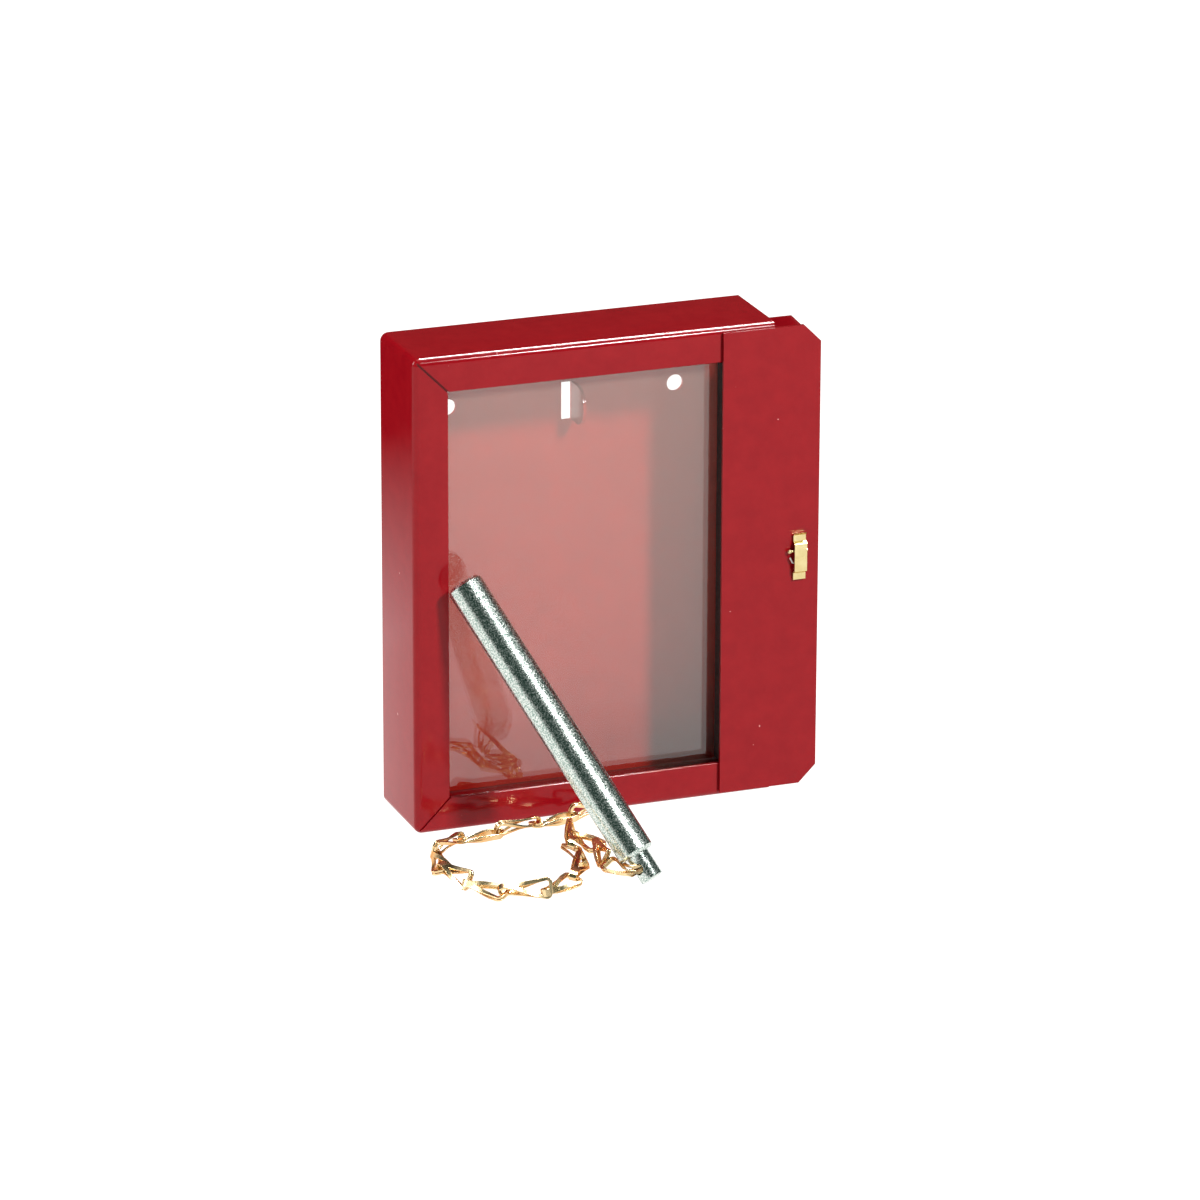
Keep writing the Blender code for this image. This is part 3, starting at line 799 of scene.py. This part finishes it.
def striker():
    """The turned bar with its cross-drilled neck."""
    foot, run, _ = striker_axis()
    form = bmesh.new()
    verts = [form.verts.new((radius, 0, height)) for radius, height in striker_profile(run.length)]
    edges = [form.edges.new(pair) for pair in zip(verts, verts[1:])]
    bmesh.ops.spin(form, geom=[*verts, *edges], cent=(0, 0, 0), axis=UP, angle=2 * math.pi, steps=96)
    bmesh.ops.remove_doubles(form, verts=form.verts, dist=WELD_DISTANCE)
    bmesh.ops.recalc_face_normals(form, faces=form.faces)
    place = Matrix.LocRotScale(foot, UP.rotation_difference(run), None)
    bmesh.ops.transform(form, matrix=place, verts=form.verts)
    bar = add_piece("turned_striker", form, "striker", STRIKER_ZINC, ["striker"])
    cross_drill(bar)
    smooth(bar, 30)
    soften_edges(bar, CUT_EDGE, angle=60)


# ---------------------------------------------------------------- chain

def flat_eye():
    """One leaf's outer and inner edge, station by station, from one side of the neck round to the other."""
    corner = (LINK_FLAT - LINK_CORNER_RADIUS, LINK_HALF_WIDTH - LINK_CORNER_RADIUS)
    starts = (
        (Vector((LINK_STRAP_LENGTH, LINK_STRAP_HALF)), LINK_CORNER_RADIUS),
        (Vector((LINK_HOLE_START, 0)), LINK_CORNER_RADIUS - LINK_RIM),
    )
    edges = []
    for start, radius in starts:
        bend = arc(corner, radius, LINK_CORNER_SWEEP, 0, 6)
        run = [tuple(start.lerp(Vector(bend[0]), share)) for share in (0, 0.3, 0.65)]
        half = [*run, *bend]
        edges.append([*half, *((along, -across) for along, across in reversed(half))])
    return edges


def fold_leaf(along, side):
    """A flat distance from the fold becomes a place in X and Z on the upper or lower leaf."""
    if along < LINK_FOLD_QUARTER:
        angle = along / LINK_FOLD_RADIUS
        return LINK_FOLD_RADIUS * (1 - math.cos(angle)), side * LINK_FOLD_RADIUS * math.sin(angle)
    past_fold = along - LINK_FOLD_QUARTER
    share = smooth_step(past_fold / (LINK_FLAT - LINK_FOLD_QUARTER))
    spread = LINK_FOLD_RADIUS + (LINK_LEAF_GAP - LINK_FOLD_RADIUS) * share
    return LINK_FOLD_RADIUS + past_fold, side * spread


def add_link(form, path, roll, twist, stretch=1.0, girth=1.0):
    """One folded link laid along a path, rolled about it, and twisted towards its eye."""
    outer, inner = flat_eye()
    made = []

    def vertex(along, across, side):
        x, z = fold_leaf(along, side)
        share = min(max(x / LINK_LENGTH, 0), 1)
        angle = math.radians(roll + twist * smooth_step(share))
        middle, heading = walk(path, x * stretch)
        level = UP.cross(heading).normalized()
        upright = heading.cross(level)
        flat = girth * (across * math.cos(angle) - z * math.sin(angle))
        tall = girth * (across * math.sin(angle) + z * math.cos(angle))
        made.append(form.verts.new(middle + level * flat + upright * tall))
        return made[-1]

    strap = []
    for index in range(-LINK_STRAP_STEPS + 1, LINK_STRAP_STEPS):
        along = LINK_STRAP_LENGTH * abs(index) / LINK_STRAP_STEPS
        side = 1 if index >= 0 else -1
        strap.append([vertex(along, LINK_STRAP_HALF, side), vertex(along, -LINK_STRAP_HALF, side)])
    leaf_starts = []
    for side in (-1, 1):
        outside = [vertex(along, across, side) for along, across in outer]
        apex = vertex(*inner[0], side)
        inside = [apex, *(vertex(along, across, side) for along, across in inner[1:-1]), apex]
        for i in range(len(outside) - 1):
            corners = [outside[i], outside[i + 1], inside[i + 1], inside[i]]
            form.faces.new(list(dict.fromkeys(corners)))
        form.faces.new((outside[0], apex, outside[-1]))
        leaf_starts.append([outside[0], outside[-1]])
    rows = [leaf_starts[0], *strap, leaf_starts[1]]
    for (a, b), (c, d) in zip(rows, rows[1:]):
        form.faces.new((a, c, d, b))
    return made


def finish_links(name, form, body, stands_for):
    """A piece of stamped links, with the sheet's thickness and softly sheared edges."""
    bmesh.ops.recalc_face_normals(form, faces=form.faces)
    links = add_piece(name, form, body, CHAIN_BRASS, stands_for)
    solid = links.modifiers.new("sheet", "SOLIDIFY")
    solid.thickness = LINK_SHEET
    solid.offset = 0
    soften_edges(links, LINK_EDGE, angle=45)
    smooth(links, 40)
    return links


def chain():
    """Interlocked stamped links from the rail's eye round the loop to the striker's link."""
    route = smooth_route([from_corner(place) for place in CHAIN_ROUTE], 8)
    length = route_length(route) - CHAIN_LEAD
    count = round(length / LINK_PITCH)
    pitch = length / count
    form = bmesh.new()
    centreline = []
    roll = FIRST_ROLL
    for index in range(count):
        tail, _ = walk(route, index * pitch)
        tip, _ = walk(route, (index + 1) * pitch)
        centreline += [tail, tail.lerp(tip, 1 / 3), tail.lerp(tip, 2 / 3)]
        twist = LINK_TWISTS[index % len(LINK_TWISTS)]
        heading = (tip - tail).normalized()
        made = add_link(form, [tail - heading * LINK_OVERLAP, tip], roll, twist)
        lowest = min(vert.co.z for vert in made) - LINK_SHEET / 2
        bmesh.ops.translate(form, verts=made, vec=(0, 0, max(FLOOR_CLEARANCE - lowest, -LINK_DROP)))
        roll += twist
    centreline.append(tip)
    links = finish_links("chain_links", form, "case", ["chain"])


def end_link():
    """The chain's last link, threaded through the striker's neck and bent towards the chain."""
    foot, run, across = striker_axis()
    centre = foot + run.normalized() * NECK_HOLE_HEIGHT
    mouth = centre - across * (NECK_RADIUS + END_LINK_MOUTH)
    last = from_corner(CHAIN_ROUTE[-1])
    bend = mouth.lerp(last, END_LINK_BEND_SHARE) - across * END_LINK_BEND
    path = smooth_route([centre + across * END_LINK_THROUGH, centre, mouth, bend, last], 6)
    form = bmesh.new()
    add_link(form, path, 0, END_LINK_TWIST, route_length(path) / LINK_LENGTH, END_LINK_GIRTH)
    finish_links("threaded_link", form, "striker", ["striker_end_link"])


# ---------------------------------------------------------------- nodes carried over

def dress_nodes(names, finish, edge, segments=2):
    """Give CAD nodes their finish and break their sharp edges."""
    for name in names:
        node = NODES[name]
        node.data.materials.clear()
        node.data.materials.append(finish)
        smooth(node)
        soften_edges(node, edge, segments)


def dress_carried_over():
    """The finishes of the CAD nodes that stay in the view."""
    # The back plate takes the lighter copy of the red: painted light inside the box
    dress_nodes(["back_plate"], INSIDE_RED_WITH_PAINTED_LIGHT, SHEET_EDGE)
    dress_nodes(["side_wall"], RED, SHEET_EDGE)
    dress_nodes(["cover_plate"], RED, PAINT_ROUND, 4)
    dress_nodes(["upper_pane_channel", "lower_pane_channel", "left_pane_channel"], SHEET_ZINC, SMALL_EDGE)
    dress_nodes(["upper_slide_clip", "lower_slide_clip"], SHEET_ZINC, SMALL_EDGE)
    dress_nodes(["catch_strap", "catch_pin"], CATCH_BRASS, SMALL_EDGE)
    dress_nodes(["chain_eye", "chain_eye_nut"], CHAIN_BRASS, WIRE_EDGE)
    dress_nodes(["seal_wire"], SEAL_GREY, WIRE_EDGE)
    # The strip at the cover's left edge is painted shade: a black sheet where there is only shadow
    dress_nodes(["cover_edge_seal"], PAINTED_SHADE_BLACK, SMALL_EDGE)
    dress_nodes(["pane"], PANE_GLASS, SHEET_EDGE)


bpy.context.scene.view_settings.view_transform = "Standard"
make_camera()
make_floor()
make_card()
make_lights()
chain()
case_shell()
striker()
end_link()
dress_carried_over()
